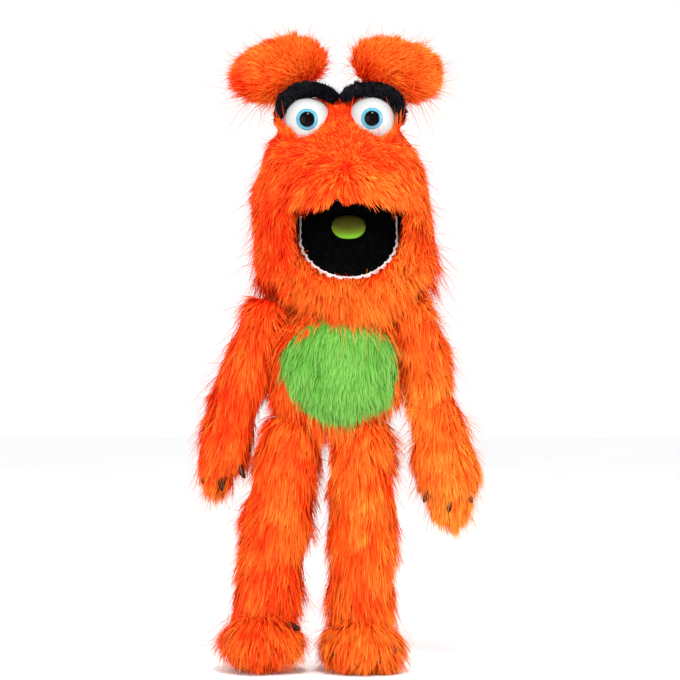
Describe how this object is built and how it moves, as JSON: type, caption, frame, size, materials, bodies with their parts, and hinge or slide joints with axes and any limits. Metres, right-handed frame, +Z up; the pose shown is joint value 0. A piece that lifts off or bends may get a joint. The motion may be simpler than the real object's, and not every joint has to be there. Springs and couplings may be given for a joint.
{
  "type": "moving mouth puppet",
  "caption": "Furry full-body hand puppet with a moving mouth, turning and nodding head, swinging arms and legs, and a round sleeve opening in its back for the arm that holds it.",
  "frame": {"origin": "centre of the sleeve opening's rim in the lower back, where the arm that holds the puppet goes in", "axes": "+Z up, -Y the way the puppet faces, +X to the right as it is seen from the front; +Y out of the sleeve"},
  "size_m": [0.2858, 0.179, 0.6546],
  "materials": {
    "orange_fur": "long pile fake fur",
    "green_fur": "long pile fake fur",
    "brow_plush": "short pile plush",
    "mouth_plush": "black velour",
    "teeth_felt": "white felt",
    "tongue_felt": "green felt",
    "eye_white": "satin white ball",
    "iris_plastic": "clear-coated blue",
    "pupil_plastic": "glossy black",
    "washer_plastic": "moulded",
    "claw_leather": "dark brown leatherette",
    "foam": "open cell foam",
    "stuffing": "polyester fibre",
    "lining_cloth": "woven nylon lining",
    "cuff_cloth": "woven tape",
    "board_plastic": "flexible board"
  },
  "bodies": {
    "torso": {"body_fur": "orange_fur", "body_foam": "foam", "body_lining": "lining_cloth", "belly_patch": "green_fur", "sleeve_lining": "lining_cloth", "sleeve_cuff": "cuff_cloth"},
    "neck": {"neck_collar": "cuff_cloth"},
    "head": {"head_fur": "orange_fur", "head_foam": "foam", "finger_pocket": "lining_cloth", "upper_mouth_lining": "mouth_plush", "upper_mouth_board": "board_plastic", "mouth_fold_tape": "mouth_plush", "left_eye_white": "eye_white", "left_iris": "iris_plastic", "left_pupil": "pupil_plastic", "left_eye_washer": "washer_plastic", "left_eyebrow": "brow_plush", "right_eye_white": "eye_white", "right_iris": "iris_plastic", "right_pupil": "pupil_plastic", "right_eye_washer": "washer_plastic", "right_eyebrow": "brow_plush"},
    "jaw": {"lower_mouth_lining": "mouth_plush", "lower_mouth_board": "board_plastic", "jaw_foam": "foam", "jaw_fur": "orange_fur", "thumb_pocket": "lining_cloth", "teeth_strip": "teeth_felt"},
    "tongue": {"tongue": "tongue_felt"},
    "left_ear": {"left_ear_fur": "orange_fur", "left_ear_stuffing": "stuffing"},
    "left_shoulder": {"left_shoulder_seam": "cuff_cloth"},
    "left_arm": {"left_arm_fur": "orange_fur", "left_arm_stuffing": "stuffing", "left_hand_fur": "orange_fur", "left_hand_stuffing": "stuffing", "left_hand_claws": "claw_leather"},
    "left_leg": {"left_leg_fur": "orange_fur", "left_leg_stuffing": "stuffing"},
    "left_foot": {"left_foot_fur": "orange_fur", "left_foot_stuffing": "stuffing", "left_foot_claws": "claw_leather"},
    "right_ear": {"right_ear_fur": "orange_fur", "right_ear_stuffing": "stuffing"},
    "right_shoulder": {"right_shoulder_seam": "cuff_cloth"},
    "right_arm": {"right_arm_fur": "orange_fur", "right_arm_stuffing": "stuffing", "right_hand_fur": "orange_fur", "right_hand_stuffing": "stuffing", "right_hand_claws": "claw_leather"},
    "right_leg": {"right_leg_fur": "orange_fur", "right_leg_stuffing": "stuffing"},
    "right_foot": {"right_foot_fur": "orange_fur", "right_foot_stuffing": "stuffing", "right_foot_claws": "claw_leather"}
  },
  "joints": [
    {"name": "head_turn", "type": "hinge", "parent": "torso", "child": "neck", "pos_m": [0, -0.043, 0.071], "axis": [0, 0, 1], "range_deg": [-25, 25]},
    {"name": "head_nod", "type": "hinge", "parent": "neck", "child": "head", "pos_m": [0, -0.043, 0.08], "axis": [1, 0, 0], "range_deg": [-15, 12]},
    {"name": "mouth", "type": "hinge", "parent": "head", "child": "jaw", "pos_m": [0.009, -0.092, 0.16], "axis": [1, 0, 0], "range_deg": [-55, 10]},
    {"name": "tongue_lift", "type": "hinge", "parent": "jaw", "child": "tongue", "pos_m": [0.009, -0.093, 0.1504], "axis": [1, 0, 0], "range_deg": [-10, 0]},
    {"name": "left_ear_flop", "type": "hinge", "parent": "head", "child": "left_ear", "pos_m": [-0.061, -0.077, 0.285], "axis": [1, 0, 0], "range_deg": [-15, 15], "stiffness_Nm_per_rad": 0.1},
    {"name": "left_arm_swing", "type": "hinge", "parent": "torso", "child": "left_shoulder", "pos_m": [-0.08, -0.077, 0.048], "axis": [-1, 0, 0], "range_deg": [-25, 85]},
    {"name": "left_arm_spread", "type": "hinge", "parent": "left_shoulder", "child": "left_arm", "pos_m": [-0.08, -0.077, 0.048], "axis": [0, 1, 0], "range_deg": [0, 70]},
    {"name": "left_leg_swing", "type": "hinge", "parent": "torso", "child": "left_leg", "pos_m": [-0.052, -0.082, -0.08], "axis": [-1, 0, 0], "range_deg": [-25, 75]},
    {"name": "left_foot_flop", "type": "hinge", "parent": "left_leg", "child": "left_foot", "pos_m": [-0.08, -0.082, -0.256], "axis": [-1, 0, 0], "range_deg": [-20, 20], "stiffness_Nm_per_rad": 0.2},
    {"name": "right_ear_flop", "type": "hinge", "parent": "head", "child": "right_ear", "pos_m": [0.058, -0.077, 0.285], "axis": [1, 0, 0], "range_deg": [-15, 15], "stiffness_Nm_per_rad": 0.1},
    {"name": "right_arm_swing", "type": "hinge", "parent": "torso", "child": "right_shoulder", "pos_m": [0.078, -0.077, 0.046], "axis": [-1, 0, 0], "range_deg": [-25, 85]},
    {"name": "right_arm_spread", "type": "hinge", "parent": "right_shoulder", "child": "right_arm", "pos_m": [0.078, -0.077, 0.046], "axis": [0, -1, 0], "range_deg": [0, 70]},
    {"name": "right_leg_swing", "type": "hinge", "parent": "torso", "child": "right_leg", "pos_m": [0.022, -0.082, -0.08], "axis": [-1, 0, 0], "range_deg": [-25, 75]},
    {"name": "right_foot_flop", "type": "hinge", "parent": "right_leg", "child": "right_foot", "pos_m": [0.022, -0.082, -0.256], "axis": [-1, 0, 0], "range_deg": [-20, 20], "stiffness_Nm_per_rad": 0.2}
  ]
}
